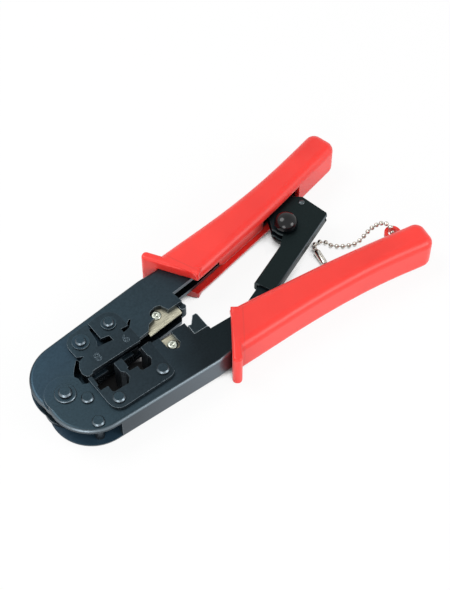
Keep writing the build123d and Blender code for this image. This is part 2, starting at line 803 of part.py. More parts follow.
# ---- ratchet ----
def ratchet_rack():
    """A flat bar with a row of slanted teeth, and an eye offset from it."""
    half = RACK_WIDE / 2
    face = Pos((RACK_END + 8) / 2, 0) * Rectangle(RACK_END - 8, RACK_WIDE)
    face += outline(
        (8, half),
        (10, -half),
        (4, -half - 1),
        (2.6, -RACK_OFFSET - 2.4),
        (-2.6, -RACK_OFFSET + 2.4),
        (2, half),
    )
    face += Pos(0, -RACK_OFFSET) * Circle(RACK_EYE_R)
    for n in range(RATCHET_TEETH):
        x = RATCHET_START + n * RATCHET_PITCH
        face -= outline((x, half + 0.1), (x, half - RATCHET_DEEP), (x + RATCHET_PITCH, half + 0.1))
    face -= Pos(0, -RACK_OFFSET) * Circle(RACK_PIN_R + SHAFT_GAP)
    return ON_SLIDE * slab(face, -RACK_THICK / 2, RACK_THICK / 2)


def rack_pin():
    return disc(*RACK_PIVOT, RACK_PIN_R, -OUTER, OUTER)


def rack_spacers():
    spacer = ring(*RACK_PIVOT, RACK_EYE_R, RACK_PIN_R, RACK_THICK / 2 + NEST_GAP, INNER)
    return Compound(both_sides(spacer))


def housing_pivot_on_slide():
    """The housing's pivot in the slide line's own frame."""
    x, y = turned(HOUSING_PIVOT, OPEN_ANGLE)
    along = turned((x - RACK_PIVOT[0], y - RACK_PIVOT[1]), -SLIDE)
    return (along[0], along[1] - RACK_OFFSET)


def housing_face():
    """Sleeve round the rack, with the lever's pocket above it and the lobe up to the pivot."""
    half = SLEEVE_WIDE / 2
    px, py = housing_pivot_on_slide()
    neck = px - HOUSING_NECK
    body = outline(
        (SLEEVE_START, -half),
        (HOUSING_END - 1, -half),
        (HOUSING_END, -half + 1),
        (HOUSING_END + 3, 0.46 * py),
        (px + HOUSING_LOBE_R, py),
        (px - HOUSING_LOBE_R, py),
        (neck, 0.6 * py),
        (neck, half + 1.8),
        (SLEEVE_NECK, half),
        (SLEEVE_START, half),
    )
    return body + Pos(px, py) * Circle(HOUSING_LOBE_R) + Pos(*KNOB) * Circle(KNOB_R + 0.6)


def ratchet_housing():
    face = housing_face() - Pos(*housing_pivot_on_slide()) * Circle(HOUSING_PIN_R + SHAFT_GAP)
    face -= Pos(*KNOB) * Circle(PAWL_SHAFT_R + SHAFT_GAP)
    face -= Pos(*HOUSING_RIVET) * Circle(1.0)
    inside = HOUSING_HALF - HOUSING_SHEET
    half = SLEEVE_WIDE / 2
    body = pair(face, inside, HOUSING_HALF)
    near = Pos((SLEEVE_START + HOUSING_END - 3) / 2, -half + HOUSING_SHEET / 2) * Rectangle(
        HOUSING_END - 3 - SLEEVE_START, HOUSING_SHEET
    )
    far = Pos((SLEEVE_START + SLEEVE_NECK - 2) / 2, half - HOUSING_SHEET / 2) * Rectangle(
        SLEEVE_NECK - 2 - SLEEVE_START, HOUSING_SHEET
    )
    body += slab(near + far, -HOUSING_HALF, HOUSING_HALF)
    bends = [
        e
        for e in body.edges().filter_by(Axis.X)
        if abs(abs(e.center().Y) - half) < 0.01
        and abs(abs(e.center().Z) - HOUSING_HALF) < 0.01
        and e.length > SLEEVE_WIDE
    ]
    return ON_SLIDE * fillet(bends, 1.0)


def housing_pin():
    return OPEN * disc(*HOUSING_PIVOT, HOUSING_PIN_R, -NEST_OUTER, NEST_OUTER)


def housing_rivet():
    return ON_SLIDE * rivet(*HOUSING_RIVET, 1.0, 1.6, 0.8, HOUSING_HALF)


def pawl():
    """A lever on the knob's shaft whose tooth rides on the rack."""
    kx, ky = KNOB
    half = HOUSING_HALF - HOUSING_SHEET - 0.25
    tip = RACK_WIDE / 2 + RUN_GAP
    arm = outline(
        (kx - 3.0, ky - 0.6),
        (kx - 4.4, tip + 1.4),
        (kx - 4.6, tip),
        (kx - 3.6, tip + 0.2),
        (kx + 2.4, ky - 1.6),
    )
    face = Pos(kx, ky) * Circle(PAWL_HUB_R) + arm - Pos(kx, ky) * Circle(PAWL_SHAFT_R)
    return ON_SLIDE * slab(face, -half, half)


def pawl_shaft():
    high = HOUSING_HALF + NEST_GAP
    return ON_SLIDE * disc(*KNOB, PAWL_SHAFT_R, -high - WHEEL_THICK, high)


def release_wheel():
    high = -HOUSING_HALF - NEST_GAP
    wheel = ring(*KNOB, WHEEL_R, PAWL_SHAFT_R, high - WHEEL_THICK, high)
    rim = wheel.edges().filter_by(GeomType.CIRCLE).filter_by(lambda e: e.radius > WHEEL_R - 0.1)
    return ON_SLIDE * chamfer(rim, 0.4)


def release_knob():
    return ON_SLIDE * dome(*KNOB, KNOB_R, HOUSING_HALF + NEST_GAP, KNOB_FOOT, KNOB_HIGH)


def pawl_spring():
    """A bent strip held by the housing's rivet, its free end behind the pawl."""
    kx, ky = KNOB
    rx, ry = HOUSING_RIVET
    half = HOUSING_HALF - HOUSING_SHEET - 0.25
    strip = 0.5
    line = [(rx + 1.6, ry + 1.2), (rx - 2.0, ry + 2.4), (kx + 7.5, ky + 1.5), (kx + 4.4, ky - 2.2)]
    top = [(x, y + strip) for x, y in reversed(line)]
    face = outline(*line, *top)
    return ON_SLIDE * slab(face, -half, half)


# ---- bead chain ----
def route_radii(points):
    """The largest bend at each corner that leaves both of its runs a straight middle."""
    radii = []
    for before, here, after in zip(points, points[1:], points[2:]):
        a, b = Vector(*here) - Vector(*before), Vector(*after) - Vector(*here)
        radii.append(0.45 * min(a.length, b.length) / tan(radians(a.get_angle(b)) / 2))
    return radii


def ball_chain():
    points = [(x, y, z - MID_Z) for x, y, z in CHAIN_ROUTE]
    path = FilletPolyline(*points, radius=route_radii(points))
    section = Plane(origin=path @ 0, z_dir=path % 0) * Circle(CHAIN_BEAD / 2)
    return sweep(section, path=path)


def chain_connector():
    tube = Cylinder(CONNECTOR_R, CONNECTOR_LONG)
    tube = chamfer(tube.edges().filter_by(GeomType.CIRCLE), 0.3)
    place = Pos(*CONNECTOR_PLACE, CONNECTOR_R - MID_Z) * Rot(0, 0, CONNECTOR_TURN)
    return place * (Rot(0, 90, 0) * tube)


PIECES = {
    "lower_frame": lower_frame,
    "lower_grip": lower_grip,
    "die_plates": die_plates,
    "die_block": die_block,
    "lower_blade": lower_blade,
    "lower_blade_seat": lower_blade_seat,
    "lower_blade_screw": lambda: screw(*BLADE_LOW_SCREW, INNER, 7.0),
    "cable_stop": cable_stop,
    "pivot_rivet": pivot_rivet,
    "pivot_washers": pivot_washers,
    "pivot_sleeve": pivot_sleeve,
    "return_spring": return_spring,
    "frame_rivets": frame_rivets,
    "spacer_posts": spacer_posts,
    "rack_pin": rack_pin,
    "rack_spacers": rack_spacers,
    "upper_frame": upper_frame,
    "upper_grip": upper_grip,
    "punch_rivets": punch_rivets,
    "punch_washers": punch_washers,
    "upper_blade": upper_blade,
    "upper_blade_seat": upper_blade_seat,
    "upper_blade_screw": lambda: OPEN * screw(*BLADE_UP_SCREW, NEST_INNER, 5.0),
    "blade_end_stop": blade_end_stop,
    "housing_pin": housing_pin,
    "punch_plates": punch_plates,
    "punch_holder": punch_holder,
    "punch_8p": lambda: PUNCH_TURN * punch(CAVITY_8, 8),
    "punch_6p": lambda: PUNCH_TURN * punch(CAVITY_6, 6),
    "ratchet_rack": ratchet_rack,
    "ratchet_housing": ratchet_housing,
    "housing_rivet": housing_rivet,
    "pawl": pawl,
    "pawl_shaft": pawl_shaft,
    "pawl_spring": pawl_spring,
    "release_knob": release_knob,
    "release_wheel": release_wheel,
    "ball_chain": ball_chain,
    "chain_connector": chain_connector,
}
CORD_PIECES = ("ball_chain", "chain_connector")


def main():
    solids = {name: make() for name, make in PIECES.items()}
    centre = Compound([solids[n] for n in solids if n not in CORD_PIECES]).bounding_box().center()
    place = Pos(-centre.X, -centre.Y, MID_Z)
    for name, shape in solids.items():
        export_step(place * shape, f"parts/{name}.step")
    print("origin from the pivot", round(centre.X, 3), round(centre.Y, 3))
    print("chain radii", *[round(r, 1) for r in route_radii(CHAIN_ROUTE)])
    print("rack swing", round(RACK_SWING, 3), "at half", round(slide_angle(CLOSE_ANGLE / 2) - SLIDE, 3))


main()
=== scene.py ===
import json
import logging
import math
from dataclasses import dataclass, field
from enum import Enum
from typing import Callable, Optional, Sequence, Union

import bmesh
import bpy
from mathutils import Matrix, Vector


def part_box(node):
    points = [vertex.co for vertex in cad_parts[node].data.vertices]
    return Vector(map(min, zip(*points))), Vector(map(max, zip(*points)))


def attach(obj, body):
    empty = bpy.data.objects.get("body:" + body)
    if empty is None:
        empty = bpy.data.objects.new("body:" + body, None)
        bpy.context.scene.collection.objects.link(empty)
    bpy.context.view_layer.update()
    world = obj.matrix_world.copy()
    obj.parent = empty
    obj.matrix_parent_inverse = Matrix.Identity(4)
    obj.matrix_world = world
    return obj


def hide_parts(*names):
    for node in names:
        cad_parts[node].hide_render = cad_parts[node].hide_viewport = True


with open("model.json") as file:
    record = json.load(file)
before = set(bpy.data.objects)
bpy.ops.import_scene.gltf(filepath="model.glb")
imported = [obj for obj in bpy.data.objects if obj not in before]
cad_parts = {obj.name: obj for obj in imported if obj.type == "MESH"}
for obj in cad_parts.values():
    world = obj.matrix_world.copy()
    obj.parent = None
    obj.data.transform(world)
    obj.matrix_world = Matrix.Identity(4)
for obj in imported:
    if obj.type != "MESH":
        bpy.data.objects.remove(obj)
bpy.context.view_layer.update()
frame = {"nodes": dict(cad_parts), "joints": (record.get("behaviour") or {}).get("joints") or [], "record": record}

LOG = logging.getLogger("crimping_tool")
MM = 0.001

Colour = tuple[float, float, float, float]
Socket = bpy.types.NodeSocket
Tree = bpy.types.NodeTree
Fed = Union[Socket, float, Colour]


# ---------------------------------------------------------------- colours and nodes
def linear(code: str, alpha: float = 1.0) -> Colour:
    """Turns an sRGB hex colour into the linear colour that shaders use.

    Args:
        code: the colour as "#rrggbb".
        alpha: the fourth value.

    Returns:
        Red, green, blue and alpha, linear.
    """
    values = [int(code[i : i + 2], 16) / 255 for i in (1, 3, 5)]
    r, g, b = (v / 12.92 if v <= 0.04045 else ((v + 0.055) / 1.055) ** 2.4 for v in values)
    return (r, g, b, alpha)


def add_node(
    tree: Tree, kind: str, inputs: Optional[dict] = None, **settings: object
) -> bpy.types.Node:
    """Adds one node with its settings, fixed values and incoming links.

    Args:
        tree: the node tree.
        kind: the node's type name, without "ShaderNode".
        inputs: input socket name or number to its fixed value, or to the output that feeds it.
        settings: the node's own properties.

    Returns:
        The new node.
    """
    node = tree.nodes.new("ShaderNode" + kind)
    for name, value in settings.items():
        setattr(node, name, value)
    for name, value in (inputs or {}).items():
        if isinstance(value, Socket):
            tree.links.new(value, node.inputs[name])
        else:
            node.inputs[name].default_value = value
    return node


def calc(tree: Tree, operation: str, *inputs: Fed, clamp: bool = False) -> Socket:
    """A sum, product or comparison of numbers.

    Args:
        tree: the node tree.
        operation: the Math node's operation.
        inputs: its operands, in order.
        clamp: whether the result is kept between zero and one.

    Returns:
        The result.
    """
    operands = dict(enumerate(inputs))
    node = add_node(tree, "Math", operands, operation=operation, use_clamp=clamp)
    return node.outputs["Value"]


def dot(tree: Tree, first: Fed, second: Fed) -> Socket:
    """The dot product of two vectors."""
    node = add_node(tree, "VectorMath", {0: first, 1: second}, operation="DOT_PRODUCT")
    return node.outputs["Value"]


def axis_of(tree: Tree, vector: Socket, axis: str) -> Socket:
    """One of a vector's three numbers.

    Args:
        tree: the node tree.
        vector: the vector.
        axis: "X", "Y" or "Z".

    Returns:
        The number.
    """
    return add_node(tree, "SeparateXYZ", {"Vector": vector}).outputs[axis]


def normal_of(tree: Tree) -> Socket:
    """The surface's own normal."""
    return add_node(tree, "NewGeometry").outputs["Normal"]


def span(tree: Tree, at: Socket, start: float, end: float, top: float = 1.0) -> Socket:
    """A place's share of the way between two others, times a top value.

    Args:
        tree: the node tree.
        at: the place.
        start: where the share is zero.
        end: where it is one.
        top: what the share is multiplied by.

    Returns:
        The share.
    """
    inputs = {"Value": at, "From Min": start, "From Max": end, "To Max": top}
    return add_node(tree, "MapRange", inputs).outputs["Result"]


def mixed(tree: Tree, share: Fed, first: Fed, second: Fed, blend: str = "MIX") -> Socket:
    """One colour laid over another.

    Args:
        tree: the node tree.
        share: how much of the second colour there is.
        first: the colour below.
        second: the colour above.
        blend: how they meet.

    Returns:
        The colour.
    """
    inputs = {"Fac": share, "Color1": first, "Color2": second}
    return add_node(tree, "MixRGB", inputs, blend_type=blend).outputs["Color"]


def noise(
    tree: Tree, place: Socket, size_mm: float, detail: float, roughness: float = 0.5
) -> Socket:
    """A noise pattern of a real size.

    Args:
        tree: the node tree.
        place: where the surface is, metres.
        size_mm: how far apart its features are.
        detail: how many finer layers it has.
        roughness: how strong those are.

    Returns:
        The pattern, about 0.5 on the whole.
    """
    scale = 1.0 / (size_mm * MM)
    inputs = {"Vector": place, "Scale": scale, "Detail": detail, "Roughness": roughness}
    return add_node(tree, "TexNoise", inputs).outputs["Fac"]


def openness(tree: Tree, reach_mm: float, samples: int = 8) -> Socket:
    """One in the open, and less the nearer other surfaces are.

    Args:
        tree: the node tree.
        reach_mm: how far off a surface still counts.
        samples: how many rays are tried.

    Returns:
        The share of open air.
    """
    inputs = {"Distance": reach_mm * MM}
    return add_node(tree, "AmbientOcclusion", inputs, samples=samples).outputs["AO"]


def ramp(tree: Tree, source: Socket, stops: Sequence[tuple[float, Colour]]) -> Socket:
    """Maps a grey value onto colours.

    Args:
        tree: the node tree.
        source: the grey value.
        stops: place and colour of each stop, in order.

    Returns:
        The colour output.
    """
    node = add_node(tree, "ValToRGB", {"Fac": source})
    line = node.color_ramp.elements
    while len(line) < len(stops):
        line.new(0.5)
    for element, (place, colour) in zip(line, stops):
        element.position = place
        element.color = colour
    return node.outputs["Color"]


def levels(tree: Tree, source: Socket, *stops: tuple[float, float]) -> Socket:
    """Maps a grey value onto others, each stop a place and its linear value."""
    return ramp(tree, source, [(at, (value, value, value, 1.0)) for at, value in stops])


def tints(tree: Tree, source: Socket, *stops: tuple[float, str]) -> Socket:
    """Maps a grey value onto colours, each stop a place and its hex code."""
    return ramp(tree, source, [(at, linear(code)) for at, code in stops])


class Slot(Enum):
    """The record's material slots."""

    BLUED = "blued_steel"
    BRIGHT = "bright_steel"
    GRIP = "red_grip"
    KNOB = "black_knob"
    CHAIN = "nickel_chain"
    SPRING = "spring_steel"


def hinge_at(name: str) -> Vector:
    """Where a hinge's axis stands, metres.

    Args:
        name: the joint's name.

    Returns:
        A point of its axis.
    """
    return next(Vector(joint["pos_m"]) for joint in frame["joints"] if joint["name"] == name)


PIVOT = hinge_at("jaw_hinge")


def from_pivot(x: float, y: float, z: float) -> Vector:
    """A point counted from the pivot in plan and from the ground in height, millimetres.

    Args:
        x: along the lower jaw.
        y: towards the upper jaw.
        z: above the ground.

    Returns:
        The same point in metres in the tool's frame.
    """
    return Vector((PIVOT.x + x * MM, PIVOT.y + y * MM, z * MM))


# ---------------------------------------------------------------- finishes
def surface(name: str) -> tuple[bpy.types.Material, Tree, Socket]:
    """Starts an empty material.

    Args:
        name: the material's name.

    Returns:
        The material, its tree, and the coordinates in metres that its patterns use.
    """
    material = bpy.data.materials.new(name)
    material.use_nodes = True
    tree = material.node_tree
    tree.nodes.clear()
    return material, tree, add_node(tree, "TexCoord").outputs["Object"]


def finish_off(tree: Tree, inputs: dict, height: Socket, depth_mm: float) -> None:
    """Joins the patterns to the surface shader and the output.

    Args:
        tree: the node tree.
        inputs: fixed values of the shader's sockets, and what feeds its others.
        height: the relief pattern.
        depth_mm: the relief's real height.
    """
    relief = {"Strength": 1.0, "Distance": depth_mm * MM, "Height": height}
    bump = add_node(tree, "Bump", relief).outputs["Normal"]
    shader = add_node(tree, "BsdfPrincipled", {**inputs, "Normal": bump})
    add_node(tree, "OutputMaterial", {"Surface": shader.outputs["BSDF"]})


@dataclass(frozen=True)
class BlackOxideSteel:
    """Cold-rolled sheet steel with a hot black-oxide coat: a dark, slightly blue satin skin.

    Its colour carries painted light: lighter and bluer towards the nose's upper rim and darker towards the heel
    under the grips (painted highlight and shade), dark in every hollow (painted shade, with some oil),
    lighter on the sheared and folded sides (painted reflection of the bright floor), and bright on edges
    and rounded rims that face the lamps (painted highlight, with some wear).
    """

    name: str = "black oxide sheet steel"
    # painted highlight and shade: lighter and bluer towards the nose's upper rim, darker towards the heel, as the
    # key lamp's reflection falls along the tool
    light_and_tone_drift: tuple[tuple[float, str], ...] = (
        (0.0, "#2b3d49"),
        (0.12, "#2b3b46"),
        (0.25, "#2b3a42"),
        (0.55, "#2a363d"),
        (0.80, "#192024"),
        (1.0, "#131d1f"),
    )
    lit_side_nose: str = "#242c33"  # painted reflection of the bright floor on the sheared and folded sides, darker at the nose and lighter at the heel
    lit_side_heel: str = "#6e7880"
    hollow_shade: str = "#1a2934"  # painted shade in the hollows, together with oil in them
    inside: str = "#273d4d"  # painted bounce light on the far plate's inner face between the plates at the nose
    inside_to_mm: float = 20.0
    inside_fade_mm: float = 8.0  # over which that painted light ends, along the tool
    far_plate_mm: float = 5.2  # the far plate's inner face, above the ground
    far_plate_fade_mm: float = 2.0
    # the bright edge colour: edge wear, together with a painted highlight on edges that face the lamps
    wear_and_highlight_tint: str = "#9aa7af"
    nose_at_mm: float = 0.0  # counted from the pivot, along the tool
    heel_at_mm: float = 92.0
    rim_at_mm: float = 18.0  # counted from the pivot, across the tool
    rim_share: float = 0.25  # how much of the drift runs across the tool
    grain_mm: float = 0.9  # the rolled sheet's mottle
    mottle: float = 0.35  # how strongly it shows
    cloud_mm: float = 24.0  # broad drifts of the oxide's blue
    cloud: float = 0.3
    hollow_mm: float = 10.0  # how far off a neighbour still shades the coat
    wear_and_highlight_mm: float = 0.45  # width of the bright line on an edge
    wear_and_highlight: float = 1.2
    # how strong the painted highlight on rounded rims is
    rim_highlight: float = 0.4
    rubbed_and_lit_side: tuple[float, float, float] = (-0.5, -0.84, 0.2)  # the side that rubs on the bench and faces the lamps, where edges and rims get a painted highlight
    roughness: float = 0.38
    metallic: float = 0.95
    relief_mm: float = 0.012

    def along(self, tree: Tree, place: Socket) -> Socket:
        """How far along the tool a place is, drifting with the oxide's clouds.

        Args:
            tree: the node tree.
            place: where the surface is.

        Returns:
            Zero at the nose's upper rim and one at the heel.
        """
        cloud = noise(tree, place, self.cloud_mm, 2.0)
        nose, heel = (PIVOT.x + at * MM for at in (self.nose_at_mm, self.heel_at_mm))
        rim = PIVOT.y + self.rim_at_mm * MM
        run = span(tree, axis_of(tree, place, "X"), nose, heel, 1.0 - self.rim_share)
        across = span(tree, axis_of(tree, place, "Y"), rim, PIVOT.y, self.rim_share)
        total = calc(tree, "ADD", run, across)
        light_and_tone_drift = calc(tree, "MULTIPLY_ADD", cloud, self.cloud, -self.cloud / 2)
        return calc(tree, "ADD", total, light_and_tone_drift, clamp=True)

    def flatness(self, tree: Tree) -> Socket:
        """One on the plates' own faces, zero on faces square to them."""
        return calc(tree, "ABSOLUTE", axis_of(tree, normal_of(tree), "Z"))

    def skin(self, tree: Tree, place: Socket, grain: Socket) -> Socket:
        """The coat's colour on flat faces and on the sides, with painted highlight, shade and reflection.

        Args:
            tree: the node tree.
            place: where the surface is.
            grain: the rolled sheet's grain.

        Returns:
            The colour, with its mottle.
        """
        run = self.along(tree, place)
        # painted highlight and shade along the tool
        flat = tints(tree, run, *self.light_and_tone_drift)
        # painted reflection: the sides are lighter, as if they caught the bright floor
        side = tints(tree, run, (0.0, self.lit_side_nose), (1.0, self.lit_side_heel))
        sideness = levels(tree, self.flatness(tree), (0.35, 1.0), (0.92, 0.0))
        skin = mixed(tree, sideness, flat, side)
        mottle = levels(tree, grain, (0.3, 0.6), (0.7, 1.25))
        return mixed(tree, self.mottle, skin, mottle, "MULTIPLY")

    def rim(self, tree: Tree) -> Socket:
        """Where a rounded rim or a rivet head's flank gets a painted highlight.

        Args:
            tree: the node tree.

        Returns:
            How strong the painted highlight is: most on sloping faces on the lit side.
        """
        stops = ((0.15, 0.0), (0.45, 1.0), (0.75, 0.8), (0.97, 0.0))
        slope = levels(tree, self.flatness(tree), *stops)
        faces = dot(tree, normal_of(tree), self.rubbed_and_lit_side)
        return calc(tree, "MULTIPLY", slope, levels(tree, faces, (0.1, 0.0), (0.6, self.rim_highlight)))

    def far_plate(self, tree: Tree, place: Socket) -> Socket:
        """Finds the far plate's inner face at the nose, painted lighter and less metallic as bounced light.

        Args:
            tree: the node tree.
            place: where the surface is.

        Returns:
            One on that face and zero off it.
        """
        face, fade = self.far_plate_mm * MM, self.far_plate_fade_mm * MM
        low = span(tree, axis_of(tree, place, "Z"), face + fade, face)
        end = PIVOT.x + self.inside_to_mm * MM
        near = span(tree, axis_of(tree, place, "X"), end, end - self.inside_fade_mm * MM)
        above = span(tree, axis_of(tree, normal_of(tree), "Z"), 0.4, 0.8)
        return calc(tree, "MULTIPLY", calc(tree, "MULTIPLY", low, near), above)

    def edge(self, tree: Tree, grain: Socket) -> Socket:
        """Where an edge is bright, from wear and a painted highlight: there a rounded normal departs from the true
        one.

        Args:
            tree: the node tree.
            grain: the rolled sheet's grain, which breaks the line up.

        Returns:
            How bright the edge is.
        """
        bevel = add_node(tree, "Bevel", {"Radius": self.wear_and_highlight_mm * MM}, samples=6).outputs["Normal"]
        apart = dot(tree, bevel, normal_of(tree))
        line = levels(tree, apart, (0.80, self.wear_and_highlight), (0.985, 0.0))
        rubbed_and_lit_side = levels(tree, dot(tree, bevel, self.rubbed_and_lit_side), (0.0, 0.12), (0.45, 1.0))
        return calc(tree, "MULTIPLY", calc(tree, "MULTIPLY", line, rubbed_and_lit_side), grain)

    def make(self) -> bpy.types.Material:
        """Builds the material."""
        material, tree, place = surface(self.name)
        grain = noise(tree, place, self.grain_mm, 4.0, 0.6)
        # edge wear together with painted highlights on edges and rims
        wear_and_highlight = calc(tree, "MAXIMUM", self.edge(tree, grain), self.rim(tree))
        wear_and_highlight_tint = mixed(tree, wear_and_highlight, self.skin(tree, place, grain), linear(self.wear_and_highlight_tint))
        # painted shade: darker the nearer other surfaces are
        clear = levels(tree, openness(tree, self.hollow_mm), (0.15, 0.0), (0.55, 1.0))
        shaded = mixed(tree, clear, linear(self.hollow_shade), wear_and_highlight_tint)
        # painted bounce light: a lighter, less metallic colour on the far plate at the nose
        painted_bounce = self.far_plate(tree, place)
        ends = (0.3, self.roughness - 0.06), (0.7, self.roughness + 0.08)
        inputs = {
            "Base Color": mixed(tree, painted_bounce, shaded, linear(self.inside)),
            "Roughness": levels(tree, grain, *ends),
            "Metallic": span(tree, painted_bounce, 1.0, 0.0, self.metallic),
        }
        finish_off(tree, inputs, grain, self.relief_mm)
        return material


@dataclass(frozen=True)
class GroundSteel:
    """Hardened tool steel, surface ground: fine straight scratches one way, bright satin."""

    name: str = "ground tool steel"
    body: str = "#bab7a3"
    shade: str = "#787667"
    # painted shade in the hollows, such as the blade's recess and a screw's cross
    hollow_shade: str = "#21201b"
    scratch_mm: float = 0.25
    stretch: float = 18.0  # how much longer a scratch is than it is wide
    hollow_mm: float = 3.5
    roughness: float = 0.30
    relief_mm: float = 0.008

    def make(self) -> bpy.types.Material:
        """Builds the material."""
        material, tree, place = surface(self.name)
        squeeze = {"Vector": place, "Scale": (1.0 / self.stretch, 1.0, 1.0)}
        long = add_node(tree, "Mapping", squeeze).outputs["Vector"]
        lines = noise(tree, long, self.scratch_mm, 3.0, 0.65)
        ground = tints(tree, lines, (0.30, self.shade), (0.62, self.body))
        # painted shade: darker the nearer other surfaces are
        clear = levels(tree, openness(tree, self.hollow_mm), (0.3, 0.0), (0.8, 1.0))
        inputs = {
            "Metallic": 1.0,
            "Base Color": mixed(tree, clear, linear(self.hollow_shade), ground),
            "Roughness": levels(tree, lines, (0.3, self.roughness + 0.16), (0.7, self.roughness)),
        }
        finish_off(tree, inputs, lines, self.relief_mm)
        return material


@dataclass(frozen=True)
class SoftVinyl:
    """Injection-moulded soft vinyl: a matte red with a fine sparked grain from the mould."""

    name: str = "soft red vinyl"
    body: str = "#ec3026"
    deep: str = "#e0261d"
    joint: str = "#dd2d25"  # dirt in the mould's joint
    bleed: float = 0.4  # how much light runs under the skin
    bleed_mm: float = 8.0
    grain_mm: float = 0.55
    cloud_mm: float = 30.0
    roughness: float = 0.41
    relief_mm: float = 0.03
    groove_mm: float = 0.5  # the mould's joint behind each guard
    groove_core: float = 0.3  # the share of it that has the joint's full colour
    grooves: tuple[tuple[float, float, float, float], ...] = (
        (91.9, -8.4, 83.5, -20.9),
        (82.4, 28.1, 88.1, 15.1),
    )

    def groove(
        self, tree: Tree, place: Socket, line: tuple[float, float, float, float]
    ) -> Socket:
        """Finds a mould joint's line across a grip.

        Args:
            tree: the node tree.
            place: where the surface is.
            line: two points of the line, millimetres from the pivot.

        Returns:
            One on the line and zero off it.
        """
        start, end = from_pivot(*line[:2], 0.0), from_pivot(*line[2:], 0.0)
        along = (end - start).normalized()
        across = Vector((along.y, -along.x, 0.0))
        apart = add_node(tree, "VectorMath", {0: place, 1: start}, operation="SUBTRACT")
        off = calc(tree, "ABSOLUTE", dot(tree, apart.outputs["Vector"], across))
        wide = self.groove_mm * MM
        thin = span(tree, off, wide, self.groove_core * wide)
        beyond = "GREATER_THAN" if line[1] > 0 else "LESS_THAN"
        side = calc(tree, beyond, axis_of(tree, place, "Y"), PIVOT.y)
        return calc(tree, "MULTIPLY", thin, side)

    def make(self) -> bpy.types.Material:
        """Builds the material."""
        material, tree, place = surface(self.name)
        grain = noise(tree, place, self.grain_mm, 3.0, 0.7)
        cloud = noise(tree, place, self.cloud_mm, 2.0)
        plain = tints(tree, cloud, (0.3, self.deep), (0.6, self.body))
        joint = calc(tree, "MAXIMUM", *(self.groove(tree, place, line) for line in self.grooves))
        ends = (0.3, self.roughness - 0.05), (0.7, self.roughness + 0.1)
        inputs = {
            "Base Color": mixed(tree, joint, plain, linear(self.joint)),
            "Roughness": levels(tree, grain, *ends),
            "Specular IOR Level": 0.35,
            "Coat Weight": 0.35,
            "Coat Roughness": 0.36,
            "Sheen Weight": 0.15,
            "Sheen Roughness": 0.4,
            "Subsurface Weight": self.bleed,
            "Subsurface Radius": (1.0, 0.25, 0.2),
            "Subsurface Scale": self.bleed_mm * MM,
        }
        finish_off(tree, inputs, grain, self.relief_mm)
        return material


@dataclass(frozen=True)
class PolishedPhenolic:
    """Black phenolic, polished: near black with a clean bright highlight."""

    name: str = "polished black phenolic"
    body: str = "#07080a"
    streak: str = "#0d0f12"
    roughness: float = 0.17
    ripple_mm: float = 3.0
    relief_mm: float = 0.01

    def make(self) -> bpy.types.Material:
        """Builds the material."""
        material, tree, place = surface(self.name)
        ripple = noise(tree, place, self.ripple_mm, 1.0)
        inputs = {
            "Base Color": tints(tree, ripple, (0.3, self.body), (0.7, self.streak)),
            "Roughness": self.roughness,
            "Specular IOR Level": 0.32,
        }
        finish_off(tree, inputs, ripple, self.relief_mm)
        return material


@dataclass(frozen=True)
class NickelPlate:
    """Bright nickel on brass, rolled: a warm mirror with small dull spots."""

    name: str = "bright nickel plate"
    body: str = "#cfccc4"
    dull: str = "#8e8a80"
    spot_mm: float = 0.7
    roughness: float = 0.14
    relief_mm: float = 0.004

    def make(self) -> bpy.types.Material:
        """Builds the material."""
        material, tree, place = surface(self.name)
        spots = noise(tree, place, self.spot_mm, 3.0)
        inputs = {
            "Metallic": 1.0,
            "Base Color": tints(tree, spots, (0.34, self.dull), (0.52, self.body)),
            "Roughness": levels(tree, spots, (0.3, self.roughness + 0.2), (0.55, self.roughness)),
        }
        finish_off(tree, inputs, spots, self.relief_mm)
        return material


